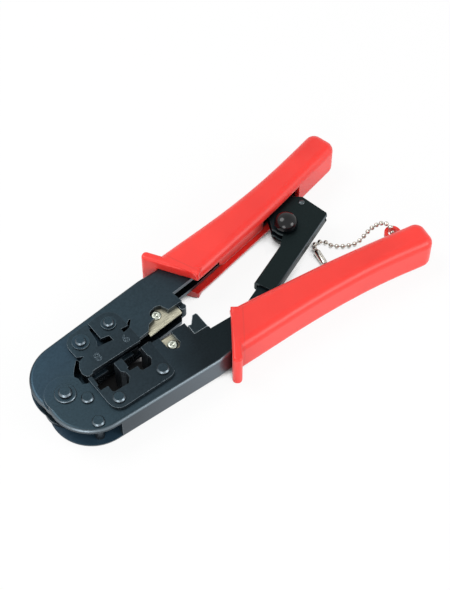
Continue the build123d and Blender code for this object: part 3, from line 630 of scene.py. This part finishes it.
@dataclass
class Finishes:
    """Every material of the tool, made once."""

    blued: bpy.types.Material = field(default_factory=lambda: BlackOxideSteel().make())
    plate: bpy.types.Material = field(
        default_factory=lambda: BlackOxideSteel(
            name="black oxide tool plate",
            # painted highlight towards the nose and painted shade towards the heel
            light_and_tone_drift=((0.0, "#2c3b43"), (0.4, "#252f35"), (0.8, "#1c252a"), (1.0, "#182326")),
        ).make()
    )
    block: bpy.types.Material = field(
        default_factory=lambda: BlackOxideSteel(
            name="black oxide machined block",
            # painted highlight and shade as on the frames; its edges get a painted highlight where they face the
            # key lamp above, with some wear
            light_and_tone_drift=((0.0, "#2a353b"), (1.0, "#222b2f")),
            lit_side_nose="#37444b",
            lit_side_heel="#37444b",
            wear_and_highlight_tint="#a5b0b6",
            wear_and_highlight_mm=0.7,
            wear_and_highlight=2.2,
            rubbed_and_lit_side=(-0.3, 0.3, 0.9),
        ).make()
    )
    sleeve: bpy.types.Material = field(
        default_factory=lambda: BlackOxideSteel(
            name="black oxide sleeve steel",
            # painted highlight and shade along the sleeve, and a painted reflection on its sides
            light_and_tone_drift=((0.0, "#202b2c"), (1.0, "#192223")),
            lit_side_nose="#303b3d",
            lit_side_heel="#303b3d",
            roughness=0.42,
            wear_and_highlight=0.35,
        ).make()
    )
    ground: bpy.types.Material = field(default_factory=lambda: GroundSteel().make())
    wire: bpy.types.Material = field(
        default_factory=lambda: GroundSteel(
            name="spring wire", body="#797c7f", shade="#454749", roughness=0.34
        ).make()
    )
    screw: bpy.types.Material = field(
        default_factory=lambda: GroundSteel(
            name="zinc-plated screw steel",
            body="#cacfc4",
            shade="#8c9285",
            hollow_mm=1.6,
            stretch=1.0,
            roughness=0.24,
        ).make()
    )
    pressed: bpy.types.Material = field(
        default_factory=lambda: GroundSteel(
            name="rubbed oxide on pressed lines", body="#73818a", shade="#505d66", stretch=1.0
        ).make()
    )
    vinyl: bpy.types.Material = field(default_factory=lambda: SoftVinyl().make())
    rivet: bpy.types.Material = field(
        default_factory=lambda: GroundSteel(
            name="burnished black rivet", body="#5a6265", shade="#343b3e", stretch=1.0
        ).make()
    )
    phenolic: bpy.types.Material = field(default_factory=lambda: PolishedPhenolic().make())
    nickel: bpy.types.Material = field(default_factory=lambda: NickelPlate().make())


# ---------------------------------------------------------------- helpers for pieces
def piece_from(bm: bmesh.types.BMesh, name: str, smooth: bool = True) -> bpy.types.Object:
    """Turns a bmesh into an object in the scene.

    Args:
        bm: the mesh, freed afterwards.
        name: the piece's name.
        smooth: whether its faces shade smoothly.

    Returns:
        The new object.
    """
    mesh = bpy.data.meshes.new(name)
    bmesh.ops.recalc_face_normals(bm, faces=bm.faces)
    bm.to_mesh(mesh)
    bm.free()
    for polygon in mesh.polygons:
        polygon.use_smooth = smooth
    piece = bpy.data.objects.new(name, mesh)
    bpy.context.scene.collection.objects.link(piece)
    return piece


def turned(
    bm: bmesh.types.BMesh,
    place: Matrix,
    profile: list[tuple[float, float]],
    sides: int,
    top: Optional[Callable[[float, float, float], float]] = None,
) -> None:
    """Adds a turned form, closed at both ends.

    Args:
        bm: the mesh to add to.
        place: where its axis stands; the profile runs along its Z.
        profile: radius and height of each ring, metres, from one end to the other.
        sides: how many steps round.
        top: lowers each point by this much, from its place across and along the axis.
    """
    rows = []
    for reach, z in profile:
        row = []
        for k in range(sides):
            angle = 2 * math.pi * k / sides
            x, y = reach * math.cos(angle), reach * math.sin(angle)
            drop = top(x, y, z) if top else 0.0
            row.append(bm.verts.new(place @ Vector((x, y, z - drop))))
        rows.append(row)
    for inner, outer in zip(rows, rows[1:]):
        for k in range(sides):
            n = (k + 1) % sides
            bm.faces.new((inner[k], outer[k], outer[n], inner[n]))
    bm.faces.new(rows[0])
    bm.faces.new(reversed(rows[-1]))


def upright(node: str) -> tuple[Matrix, float, float, float]:
    """Where a round CAD node stands.

    Args:
        node: the node's name.

    Returns:
        Its axis at the ground, its radius, and its lowest and highest place, metres.
    """
    low, high = (Vector(corner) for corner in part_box(node))
    axis = Matrix.Translation(((low.x + high.x) / 2, (low.y + high.y) / 2, 0.0))
    return axis, (high.x - low.x) / 2, low.z, high.z


def dress(piece: bpy.types.Object, material: bpy.types.Material) -> None:
    """Gives a piece its one material."""
    piece.data.materials.clear()
    piece.data.materials.append(material)


def seat(piece: bpy.types.Object, body: str, material: bpy.types.Material) -> None:
    """Dresses a new piece and puts it on its body.

    Args:
        piece: the new piece, in place.
        body: the body that it moves with.
        material: its finish.
    """
    dress(piece, material)
    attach(piece, body)
    LOG.info("made %s on %s", piece.name, body)


# ---------------------------------------------------------------- camera, light and floor
@dataclass(frozen=True)
class Lamp:
    """A round soft lamp that faces the tool."""

    name: str
    at: tuple[float, float, float]  # metres
    size: float  # metres across
    watts: float

    def hang(self) -> None:
        """Puts the lamp in the scene."""
        data = bpy.data.lights.new(self.name, "AREA")
        data.energy = self.watts
        data.shape = "DISK"
        data.size = self.size
        lamp = bpy.data.objects.new(self.name, data)
        lamp.location = self.at
        lamp.rotation_euler = (-Vector(self.at)).to_track_quat("-Z", "Y").to_euler()
        bpy.context.scene.collection.objects.link(lamp)


@dataclass
class Studio:
    """The camera, a plain pale floor and soft lamps."""

    eye: tuple[float, float, float] = (-148.7, -322.9, 575.1)  # from the pivot, millimetres
    azimuth: float = -36.25
    elevation: float = 54.19
    lens: float = 90.06
    sensor: float = 36.0
    nearest: float = 0.01  # metres, where the camera's view starts
    lamps: tuple[Lamp, ...] = (
        Lamp("key lamp", (-0.35, 0.55, 0.95), 0.7, 7.0),
        Lamp("fill lamp", (-0.75, -0.5, 0.3), 0.5, 3.6),
        Lamp("rim lamp", (0.5, -0.8, 0.44), 0.5, 4.6),
    )
    world_light: float = 0.48  # how strong the surround's light is where it isn't seen itself
    floor_size: float = 6.0  # metres
    floor_drop: float = 0.0002  # keeps the floor off the tool's lowest faces
    shade_reach_mm: float = 50.0  # how near the tool has to be to darken the floor's white
    glow_share: float = 0.92  # how much of the seen floor is its own white, not the lamps' light
    dies_at: tuple[float, float] = (30.0, -1.0)  # the painted shadow under the dies, from the pivot
    dies_reach: tuple[float, float] = (21.0, 9.5)  # its half length and half width, millimetres

    def camera(self) -> None:
        """Sets up the camera."""
        data = bpy.data.cameras.new("camera")
        data.lens = self.lens
        data.sensor_width = self.sensor
        data.clip_start = self.nearest
        camera = bpy.data.objects.new("camera", data)
        camera.location = from_pivot(*self.eye)
        tilt, swing = math.radians(90.0 - self.elevation), math.radians(self.azimuth)
        camera.rotation_euler = (tilt, 0.0, swing)
        bpy.context.scene.collection.objects.link(camera)
        bpy.context.scene.camera = camera

    def seen(self, tree: Tree) -> Socket:
        """One where a ray comes from the camera, a reflection or glass, and nothing elsewhere."""
        path = add_node(tree, "LightPath").outputs
        total = calc(tree, "MAXIMUM", path["Is Camera Ray"], path["Is Glossy Ray"])
        return calc(tree, "MAXIMUM", total, path["Is Transmission Ray"])

    def world(self) -> None:
        """A white surround where it is seen, and a softer even light elsewhere."""
        world = bpy.data.worlds.new("studio")
        world.use_nodes = True
        tree = world.node_tree
        tree.nodes.clear()
        strengths = {"Value": self.seen(tree), "To Min": self.world_light, "To Max": 1.0}
        level = add_node(tree, "MapRange", strengths).outputs["Result"]
        white = add_node(tree, "Background", {"Color": linear("#ffffff"), "Strength": level})
        add_node(tree, "OutputWorld", {"Surface": white.outputs["Background"]})
        bpy.context.scene.world = world

    def off_the_dies(self, tree: Tree) -> Socket:
        """Zero on the floor under the dies, a painted shadow where no light comes in, and one away from them."""
        place = add_node(tree, "NewGeometry").outputs["Position"]
        middle = from_pivot(*self.dies_at, 0.0)
        apart = add_node(tree, "VectorMath", {0: place, 1: middle}, operation="SUBTRACT")
        per_reach = [1.0 / (reach * MM) for reach in self.dies_reach] + [0.0]
        inputs = {0: apart.outputs["Vector"], 1: per_reach}
        shares = add_node(tree, "VectorMath", inputs, operation="MULTIPLY").outputs["Vector"]
        away = add_node(tree, "VectorMath", {0: shares}, operation="LENGTH").outputs["Value"]
        return levels(tree, away, (0.80, 0.0), (1.0, 1.0))

    def floor(self) -> None:
        """A matt white floor that shows as white in the open, with painted shade deep in the tool's gaps and a
        painted shadow under the dies.
        """
        bm = bmesh.new()
        bmesh.ops.create_grid(bm, x_segments=1, y_segments=1, size=self.floor_size / 2)
        floor = piece_from(bm, "floor", smooth=False)
        floor.location = (0.0, 0.0, -self.floor_drop)
        material = bpy.data.materials.new("matt white floor")
        material.use_nodes = True
        tree = material.node_tree
        tree.nodes.clear()
        matt = add_node(tree, "BsdfDiffuse", {"Color": linear("#f4f4f4")}).outputs["BSDF"]
        clear = levels(tree, openness(tree, self.shade_reach_mm, 16), (0.11, 0.0), (0.22, 1.0))
        lit = calc(tree, "MULTIPLY", clear, self.off_the_dies(tree))
        glow = add_node(tree, "Emission", {"Color": linear("#ffffff"), "Strength": lit})
        share = calc(tree, "MULTIPLY", self.seen(tree), self.glow_share)
        inputs = {"Fac": share, 1: matt, 2: glow.outputs["Emission"]}
        both = add_node(tree, "MixShader", inputs).outputs["Shader"]
        add_node(tree, "OutputMaterial", {"Surface": both})
        dress(floor, material)

    def make(self) -> None:
        """Builds the whole studio."""
        self.camera()
        self.world()
        self.floor()
        for lamp in self.lamps:
            lamp.hang()
        bpy.context.scene.view_settings.view_transform = "Standard"


# ---------------------------------------------------------------- the bead chain
@dataclass
class BeadChain:
    """Hollow beads on short pins, both ends clipped in a rolled connector."""

    bead_mm: float = 2.4
    pitch_mm: float = 3.0
    pin_mm: float = 0.7
    bead_sides: int = 20
    bead_rings: int = 12
    pin_sides: int = 8
    curve_steps: int = 12
    route: tuple[tuple[float, float, float], ...] = (
        (147.69, 5.77, 1.7),
        (148.3, 9.3, 1.4),
        (151.8, 9.9, 1.3),
        (154.9, 8.2, 1.3),
        (155.4, 4.6, 1.3),
        (158.4, 1.6, 1.3),
        (162.4, -0.8, 1.3),
        (167.0, -2.2, 1.3),
        (171.0, -1.9, 3.0),
        (174.4, -2.2, 6.6),
        (177.4, -3.9, 10.4),
        (179.4, -7.4, 13.9),
        (180.0, -11.9, 13.2),
        (179.7, -12.8, 8.0),
        (178.2, -12.6, 3.6),
        (173.6, -11.2, 1.4),
        (168.0, -9.2, 1.3),
        (162.0, -8.0, 1.3),
        (156.2, -8.3, 1.3),
        (150.4, -9.0, 1.3),
        (146.0, -7.6, 1.4),
        (145.97, -3.57, 1.7),
    )

    def line(self) -> list[Vector]:
        """The points of the smooth line that the beads follow."""
        curve = bpy.data.curves.new("chain line", "CURVE")
        curve.dimensions = "3D"
        curve.resolution_u = self.curve_steps
        spline = curve.splines.new("NURBS")
        spline.points.add(len(self.route) - 1)
        for point, spot in zip(spline.points, self.route):
            point.co = (*from_pivot(*spot), 1.0)
        spline.order_u = 3
        spline.use_endpoint_u = True
        carrier = bpy.data.objects.new("chain line", curve)
        mesh = bpy.data.meshes.new_from_object(carrier)
        points = [vertex.co.copy() for vertex in mesh.vertices]
        bpy.data.meshes.remove(mesh)
        bpy.data.objects.remove(carrier)
        return points

    def spots(self, line: list[Vector], step: float) -> list[tuple[Vector, Vector]]:
        """Evenly spaced places along a line.

        Args:
            line: the points of the line.
            step: the wanted distance, metres.

        Returns:
            Each place with the line's direction there.
        """
        lengths = [(b - a).length for a, b in zip(line, line[1:])]
        total = sum(lengths)
        count = max(2, round(total / step))
        found = []
        for n in range(count):
            left = (n + 0.5) * total / count
            for (a, b), length in zip(zip(line, line[1:]), lengths):
                if left <= length:
                    found.append((a.lerp(b, left / length), (b - a).normalized()))
                    break
                left -= length
        return found

    def make(self, finishes: Finishes) -> None:
        """Args:
            finishes: the tool's materials.
        """
        line = self.line()
        places = self.spots(line, self.pitch_mm * MM)
        bm = bmesh.new()
        for place, _ in places:
            bmesh.ops.create_uvsphere(
                bm,
                u_segments=self.bead_sides,
                v_segments=self.bead_rings,
                radius=self.bead_mm / 2 * MM,
                matrix=Matrix.Translation(place),
            )
        ends = [line[0], *[place for place, _ in places], line[-1]]
        for a, b in zip(ends, ends[1:]):
            turn = (b - a).to_track_quat("Z", "Y").to_matrix().to_4x4()
            bmesh.ops.create_cone(
                bm,
                cap_ends=True,
                segments=self.pin_sides,
                radius1=self.pin_mm / 2 * MM,
                radius2=self.pin_mm / 2 * MM,
                depth=(b - a).length,
                matrix=Matrix.Translation((a + b) / 2) @ turn,
            )
        beads = piece_from(bm, "bead_chain")
        seat(beads, "lower_jaw", finishes.nickel)
        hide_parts("ball_chain")
        RolledConnector().make(finishes)


# ---------------------------------------------------------------- screws, knob and connector
@dataclass
class PanHeadScrew:
    """A small cross-recessed screw that holds a blade on its seat."""

    node: str
    body: str
    head_mm: float = 1.1
    shank_mm: float = 1.2
    thread_mm: float = 0.5
    thread_depth_mm: float = 0.12
    recess_long_mm: float = 1.45
    recess_wide_mm: float = 0.8
    recess_deep_mm: float = 0.85
    recess_wall_mm: float = 0.16
    recess_rise: float = 0.55  # how much shallower an arm is at its end
    crown: float = 0.62  # how much of the head's height its crown takes
    crown_power: float = 3.4  # how flat the crown is at its middle
    tip: float = 0.6  # the shank's last radius, over its full one
    rings: int = 22
    sides: int = 72

    def recess(self, x: float, y: float) -> float:
        """How deep the cross recess is at a place on the head.

        Args:
            x: place along one arm of the cross, metres from the middle.
            y: place along the other arm.

        Returns:
            The depth, metres.
        """
        across, along = sorted((abs(x), abs(y)))
        arm = self.recess_long_mm * MM
        inside = min(self.recess_wide_mm * MM / 2 - across, arm - along)
        share = max(0.0, min(1.0, inside / (self.recess_wall_mm * MM) + 0.5))
        return self.recess_deep_mm * MM * share * max(0.0, 1.0 - self.recess_rise * along / arm)

    def make(self, finishes: Finishes) -> None:
        """Builds the screw in place of the plain solid.

        Args:
            finishes: the tool's materials.
        """
        axis, radius, low, high = upright(self.node)
        shares = [max(0.01, n / self.rings) for n in range(self.rings + 1)]
        fall = self.crown * self.head_mm * MM
        head = [(radius * share, high - fall * share**self.crown_power) for share in shares]
        under = high - self.head_mm * MM
        shank, step = self.shank_mm * MM, self.thread_mm * MM / 2
        thread = [(radius, under)]
        for n in range(int((under - low) / step)):
            thread.append((shank - self.thread_depth_mm * MM * (n % 2), under - n * step))
        thread.append((self.tip * shank, low))

        def drop(x: float, y: float, z: float) -> float:
            """The recess is in the head alone."""
            return self.recess(x, y) if z > under else 0.0

        bm = bmesh.new()
        turned(bm, axis, head + thread, self.sides, drop)
        screw = piece_from(bm, self.node + "_cross_head")
        seat(screw, self.body, finishes.screw)
        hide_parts(self.node)


@dataclass
class ReleaseKnob:
    """The domed button of the ratchet's release, on a slightly narrower foot."""

    node: str = "release_knob"
    foot: float = 0.82  # the foot's radius over the dome's
    brim: float = 0.22  # where the dome is widest, over its height
    foot_high: float = 0.45  # the foot's height over the brim's
    rise_mm: float = 0.8  # how much rounder the dome is than the plain solid
    rings: int = 28
    brim_rings: int = 6
    sides: int = 80

    def make(self, finishes: Finishes) -> None:
        """Builds the knob in place of the plain solid.

        Args:
            finishes: the tool's materials.
        """
        axis, radius, low, high = upright(self.node)
        tall, foot = high - low + self.rise_mm * MM, radius * self.foot
        profile = [(foot, 0.0), (foot, tall * self.brim * self.foot_high)]
        for n in range(self.brim_rings + 1):
            turn = math.pi / 2 * n / self.brim_rings
            reach = self.foot + (1.0 - self.foot) * math.sin(turn)
            profile.append((radius * reach, tall * self.brim * (1.0 - 0.5 * math.cos(turn))))
        for n in range(1, self.rings):
            turn = math.pi / 2 * n / self.rings
            high_share = self.brim + (1.0 - self.brim) * math.sin(turn)
            profile.append((radius * math.cos(turn), tall * high_share))
        bm = bmesh.new()
        turned(bm, axis @ Matrix.Translation((0.0, 0.0, low)), profile, self.sides)
        knob = piece_from(bm, "domed_knob")
        seat(knob, "release", finishes.phenolic)
        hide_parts(self.node)


@dataclass
class HousingRivet:
    """The small domed rivet at the sleeve's top corner."""

    node: str = "housing_rivet"
    shank: float = 0.6  # the shank's radius over the head's
    head_mm: float = 0.8
    rings: int = 10
    sides: int = 48

    def make(self, finishes: Finishes) -> None:
        """Builds the rivet in place of the plain solid.

        Args:
            finishes: the tool's materials.
        """
        axis, radius, low, high = upright(self.node)
        tall, head = high - low, self.head_mm * MM
        crown = [math.pi / 2 * n / self.rings for n in range(self.rings)]
        up = [(radius * math.cos(turn), tall - head + head * math.sin(turn)) for turn in crown]
        down = [(reach, tall - z) for reach, z in reversed(up)]
        neck = [(radius * self.shank, head), (radius * self.shank, tall - head)]
        bm = bmesh.new()
        lifted = axis @ Matrix.Translation((0.0, 0.0, low))
        turned(bm, lifted, down + neck + up, self.sides)
        rivet = piece_from(bm, "domed_rivet")
        seat(rivet, "housing", finishes.rivet)
        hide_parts(self.node)


@dataclass
class RolledConnector:
    """The chain's clip: a strip of sheet rolled into an open tube, pinched at both ends."""

    node: str = "chain_connector"
    place: tuple[float, float] = (146.83, 1.1)
    turn: float = 79.6
    radius_mm: float = 1.7
    long_mm: float = 9.5
    wall_mm: float = 0.32
    slit_mm: float = 0.75
    slit_at: float = 62.0  # degrees round the tube, from the ground
    pinch: float = 0.3  # how far the ends close, over the radius
    pinch_mm: float = 1.1
    pinch_power: float = 1.6
    rings: int = 26
    sides: int = 40

    def reach(self, along: float) -> float:
        """The tube's outer radius at a place along it, metres.

        Args:
            along: millimetres from the tube's middle.

        Returns:
            The radius.
        """
        left = max(0.0, self.pinch_mm - (self.long_mm / 2 - abs(along))) / self.pinch_mm
        return self.radius_mm * MM * (1.0 - self.pinch * left**self.pinch_power)

    def make(self, finishes: Finishes) -> bpy.types.Object:
        """Builds the connector in place of the plain solid.

        Args:
            finishes: the tool's materials.

        Returns:
            The connector.
        """
        half_slit = self.slit_mm / 2 / self.radius_mm
        start = math.radians(self.slit_at)
        axis = (
            Matrix.Translation(from_pivot(*self.place, self.radius_mm))
            @ Matrix.Rotation(math.radians(self.turn), 4, "Z")
            @ Matrix.Rotation(math.radians(90.0), 4, "Y")
        )
        bm = bmesh.new()
        rows = []
        for n in range(self.rings + 1):
            along = self.long_mm * (n / self.rings - 0.5)
            outer = self.reach(along)
            row = []
            for reach in (outer, outer - self.wall_mm * MM):
                for k in range(self.sides + 1):
                    share = k / self.sides
                    share = share if reach == outer else 1.0 - share
                    angle = start + half_slit + share * 2 * (math.pi - half_slit)
                    spot = (reach * math.cos(angle), reach * math.sin(angle), along * MM)
                    row.append(bm.verts.new(axis @ Vector(spot)))
            rows.append(row)
        count = len(rows[0])
        for a, b in zip(rows, rows[1:]):
            for k in range(count):
                n = (k + 1) % count
                bm.faces.new((a[k], a[n], b[n], b[k]))
        for row in (rows[0], rows[-1]):
            for k in range(self.sides):
                bm.faces.new((row[k], row[k + 1], row[count - 2 - k], row[count - 1 - k]))
        connector = piece_from(bm, "rolled_connector")
        seat(connector, "lower_jaw", finishes.nickel)
        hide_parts(self.node)
        return connector


@dataclass
class SlotWeb:
    """The grip's inner skin, which covers the steel core at the bottom of the upper grip's slot."""

    ends: tuple[float, float] = (104.0, 136.0)  # along the closed handle, from the pivot
    core: tuple[float, float, float] = (88.0, 9.6, 0.086)  # the core's edge: x, y and slope
    open_angle: float = 7.2  # how far the handle is open at rest, degrees
    middle_mm: float = 10.0
    half_mm: float = 5.1
    gap_mm: float = 0.1
    wall_mm: float = 0.5
    bow_mm: float = 0.05  # how far the skin stands out at its middle
    front: float = 0.55  # how tall its front end is, over the rest
    front_rise: float = 4.0  # how fast it reaches its full height
    steps: int = 30
    rows: int = 10

    def make(self, finishes: Finishes) -> None:
        """Builds the skin.

        Args:
            finishes: the tool's materials.
        """
        turn = Matrix.Rotation(math.radians(self.open_angle), 4, "Z")
        bm = bmesh.new()
        skins = []
        for depth in (self.gap_mm, self.gap_mm + self.wall_mm):
            grid = []
            for n in range(self.steps + 1):
                share = n / self.steps
                x = self.ends[0] + share * (self.ends[1] - self.ends[0])
                tall = self.half_mm * min(1.0, self.front + self.front_rise * share)
                line = []
                for m in range(self.rows + 1):
                    up = 2.0 * m / self.rows - 1.0
                    bow = self.bow_mm * (1.0 - up * up) if depth > self.gap_mm else 0.0
                    y = self.core[1] + self.core[2] * (x - self.core[0]) - depth - bow
                    spot = turn @ Vector((x * MM, y * MM, 0.0))
                    spot += from_pivot(0.0, 0.0, self.middle_mm + up * tall)
                    line.append(bm.verts.new(spot))
                grid.append(line)
            skins.append(grid)
        for grid in skins:
            for a, b in zip(grid, grid[1:]):
                for m in range(self.rows):
                    bm.faces.new((a[m], b[m], b[m + 1], a[m + 1]))
        back, front = skins
        for n in range(self.steps):
            for m in (0, self.rows):
                bm.faces.new((back[n][m], back[n + 1][m], front[n + 1][m], front[n][m]))
        for n in (0, self.steps):
            for m in range(self.rows):
                bm.faces.new((back[n][m], back[n][m + 1], front[n][m + 1], front[n][m]))
        seat(piece_from(bm, "slot_web"), "upper_jaw", finishes.vinyl)


@dataclass
class PressedNumbers:
    """How many ways each die has, pressed as an outline into the punch plate."""

    high_mm: float = 4.3
    cap_share: float = 0.7  # a digit's height over the font's size
    line_mm: float = 0.16
    tilt: float = 2.3  # the plates' rest angle
    plate_top_mm: float = 16.8
    places: tuple[tuple[str, float, float], ...] = (("8", 1.6, -11.4), ("6", 17.4, -11.1))

    def make(self, finishes: Finishes) -> None:
        """Builds each number.

        Args:
            finishes: the tool's materials.
        """
        hinge = hinge_at("punch_hinge")
        turn = Matrix.Rotation(math.radians(self.tilt), 4, "Z")
        for digit, x, y in self.places:
            text = bpy.data.curves.new("number_" + digit, "FONT")
            text.body = digit
            text.align_x, text.align_y = "CENTER", "CENTER"
            text.size = self.high_mm * MM / self.cap_share
            text.fill_mode = "NONE"
            text.bevel_depth = self.line_mm / 2 * MM
            text.bevel_resolution = 2
            text.resolution_u = 5
            carrier = bpy.data.objects.new("number_" + digit, text)
            mesh = bpy.data.meshes.new_from_object(carrier)
            bpy.data.objects.remove(carrier)
            at = hinge + turn @ Vector((x * MM, y * MM, 0.0))
            at.z = self.plate_top_mm * MM
            mesh.transform(Matrix.Translation(at) @ turn)
            number = bpy.data.objects.new("number_" + digit, mesh)
            bpy.context.scene.collection.objects.link(number)
            seat(number, "punch_carrier", finishes.pressed)


# ---------------------------------------------------------------- the CAD's own pieces
@dataclass
class Metalwork:
    """Which finish each rigid CAD piece has."""

    def make(self, finishes: Finishes) -> None:
        """Dresses every CAD piece that keeps its shape.

        Args:
            finishes: the tool's materials.
        """
        by_slot = {
            Slot.BLUED.value: finishes.blued,
            Slot.BRIGHT.value: finishes.ground,
            Slot.GRIP.value: finishes.vinyl,
            Slot.KNOB.value: finishes.phenolic,
            Slot.CHAIN.value: finishes.nickel,
            Slot.SPRING.value: finishes.wire,
        }
        slots = {row["node"]: row["material_slot"] for row in frame["record"]["subparts"]}
        for name, node in frame["nodes"].items():
            dress(node, by_slot[slots[name]])
            LOG.info("dressed %s", name)
        dress(frame["nodes"]["ratchet_housing"], finishes.sleeve)
        for name in ("cable_stop", "blade_end_stop", "lower_blade_seat", "upper_blade_seat"):
            dress(frame["nodes"][name], finishes.block)
        for name in ("die_plates", "die_block", "punch_plates", "punch_holder", "ratchet_rack"):
            dress(frame["nodes"][name], finishes.plate)


def main() -> None:
    """Builds the tool piece by piece."""
    logging.basicConfig(level=logging.INFO, format="%(name)s: %(message)s")
    Studio().make()
    finishes = Finishes()
    BeadChain().make(finishes)
    PanHeadScrew("lower_blade_screw", "lower_jaw").make(finishes)
    PanHeadScrew("upper_blade_screw", "upper_jaw").make(finishes)
    ReleaseKnob().make(finishes)
    HousingRivet().make(finishes)
    SlotWeb().make(finishes)
    PressedNumbers().make(finishes)
    Metalwork().make(finishes)


if __name__ == "__main__":
    main()
